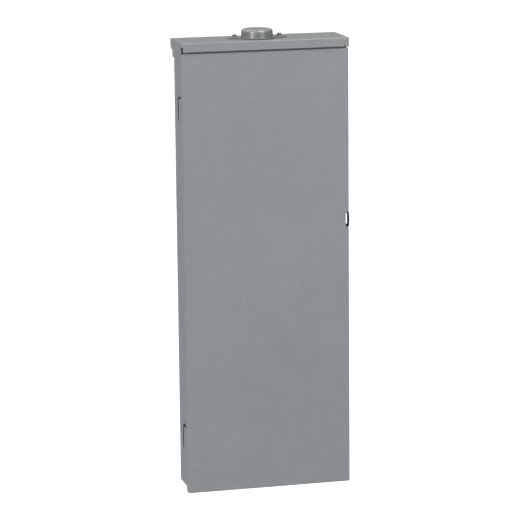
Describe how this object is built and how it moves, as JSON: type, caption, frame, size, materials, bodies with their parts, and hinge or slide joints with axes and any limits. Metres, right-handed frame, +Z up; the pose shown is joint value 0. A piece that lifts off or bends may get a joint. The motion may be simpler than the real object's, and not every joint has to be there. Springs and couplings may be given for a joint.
{
  "type": "residential load center",
  "caption": "Outdoor residential load center: tall gray steel box with rain hood, hinged door, padlock staple, dead front, main breaker and plug-on breakers.",
  "frame": {"origin": "centre of the four wall holes, on the back face of the enclosure", "axes": "+Z up, +X to the right seen from the front, +Y into the wall"},
  "size_m": [0.374, 0.1134, 1.0209],
  "materials": {
    "gray_paint": "semi-gloss baked enamel, slight orange peel",
    "inner_paint": "semi-gloss baked enamel",
    "gasket_rubber": "matt",
    "dark_zinc": "dark plated, satin",
    "tinned_aluminium": "tin plated, satin",
    "insulator_plastic": "moulded, matt",
    "breaker_plastic": "moulded thermoset, low gloss",
    "handle_plastic": "moulded, semi-gloss",
    "green_screw": "green dyed plating",
    "directory_paper": "uncoated card",
    "zinc_steel": "bright zinc plated"
  },
  "bodies": {
    "enclosure": {"bonding_screw": "green_screw", "bottom_endwall": "gray_paint", "branch_terminal_screws": "zinc_steel", "breaker_1_left": "breaker_plastic", "breaker_2_right": "breaker_plastic", "breaker_3_left": "breaker_plastic", "breaker_4_right": "breaker_plastic", "breaker_5_left": "breaker_plastic", "breaker_6_right": "breaker_plastic", "breaker_rail_left": "zinc_steel", "breaker_rail_right": "zinc_steel", "bus_bar_a": "tinned_aluminium", "bus_bar_b": "tinned_aluminium", "bus_insulator": "insulator_plastic", "cover_brackets": "zinc_steel", "dead_front": "inner_paint", "dead_front_screws": "zinc_steel", "enclosure_box": "gray_paint", "ground_bar": "tinned_aluminium", "ground_bar_screws": "zinc_steel", "hinge_leaf_lower": "dark_zinc", "hinge_leaf_upper": "dark_zinc", "hinge_pin_lower": "dark_zinc", "hinge_pin_upper": "dark_zinc", "hub_cap": "gray_paint", "hub_gasket": "gasket_rubber", "hub_plate": "gray_paint", "hub_screws": "zinc_steel", "line_lug_a": "tinned_aluminium", "line_lug_b": "tinned_aluminium", "lug_set_screws": "tinned_aluminium", "main_breaker_base": "breaker_plastic", "main_breaker_cover": "breaker_plastic", "main_bus_bolts": "zinc_steel", "main_cover_screws": "zinc_steel", "mounting_pan": "zinc_steel", "neutral_bar_left": "tinned_aluminium", "neutral_bar_right": "tinned_aluminium", "neutral_cross_strap": "tinned_aluminium", "neutral_lug": "tinned_aluminium", "neutral_standoffs": "insulator_plastic", "neutral_terminal_screws": "zinc_steel", "padlock_staple": "dark_zinc", "pan_screws": "zinc_steel", "plug_on_stabs": "tinned_aluminium", "rain_hood": "gray_paint", "top_endwall": "gray_paint"},
    "door": {"door_panel": "gray_paint", "door_hinge_upper": "gray_paint", "door_hinge_lower": "gray_paint", "circuit_directory": "directory_paper", "door_catch_rivet": "zinc_steel"},
    "door_catch": {"door_catch_spring": "zinc_steel"},
    "main_handle": {"main_breaker_handle": "handle_plastic"},
    "toggle_1_left": {"handle_1_left": "handle_plastic"},
    "toggle_2_right": {"handle_2_right": "handle_plastic"},
    "toggle_3_left": {"handle_3_left": "handle_plastic"},
    "toggle_4_right": {"handle_4_right": "handle_plastic"},
    "toggle_5_left": {"handle_5_left": "handle_plastic"},
    "toggle_6_right": {"handle_6_right": "handle_plastic"}
  },
  "joints": [
    {"name": "door_swing", "type": "hinge", "parent": "enclosure", "child": "door", "pos_m": [-0.18095, -0.0535, 0], "axis": [0, 0, -1], "range_deg": [0, 130]},
    {"name": "door_catch_flex", "type": "hinge", "parent": "door", "child": "door_catch", "pos_m": [0.18295, -0.1035, 0.14], "axis": [0, 0, -1], "range_deg": [0, 5], "stiffness_Nm_per_rad": 0.3},
    {"name": "main_switch", "type": "hinge", "parent": "enclosure", "child": "main_handle", "pos_m": [0, -0.074, 0.285], "axis": [1, 0, 0], "range_deg": [0, 44]},
    {"name": "switch_1_left", "type": "hinge", "parent": "enclosure", "child": "toggle_1_left", "pos_m": [-0.041, -0.076, 0.1623], "axis": [0, 0, -1], "range_deg": [0, 40]},
    {"name": "switch_2_right", "type": "hinge", "parent": "enclosure", "child": "toggle_2_right", "pos_m": [0.041, -0.076, 0.1623], "axis": [0, 0, 1], "range_deg": [0, 40]},
    {"name": "switch_3_left", "type": "hinge", "parent": "enclosure", "child": "toggle_3_left", "pos_m": [-0.041, -0.076, 0.1242], "axis": [0, 0, -1], "range_deg": [0, 40]},
    {"name": "switch_4_right", "type": "hinge", "parent": "enclosure", "child": "toggle_4_right", "pos_m": [0.041, -0.076, 0.1242], "axis": [0, 0, 1], "range_deg": [0, 40]},
    {"name": "switch_5_left", "type": "hinge", "parent": "enclosure", "child": "toggle_5_left", "pos_m": [-0.041, -0.076, 0.0988], "axis": [0, 0, -1], "range_deg": [0, 40]},
    {"name": "switch_6_right", "type": "hinge", "parent": "enclosure", "child": "toggle_6_right", "pos_m": [0.041, -0.076, 0.0988], "axis": [0, 0, 1], "range_deg": [0, 40]}
  ]
}
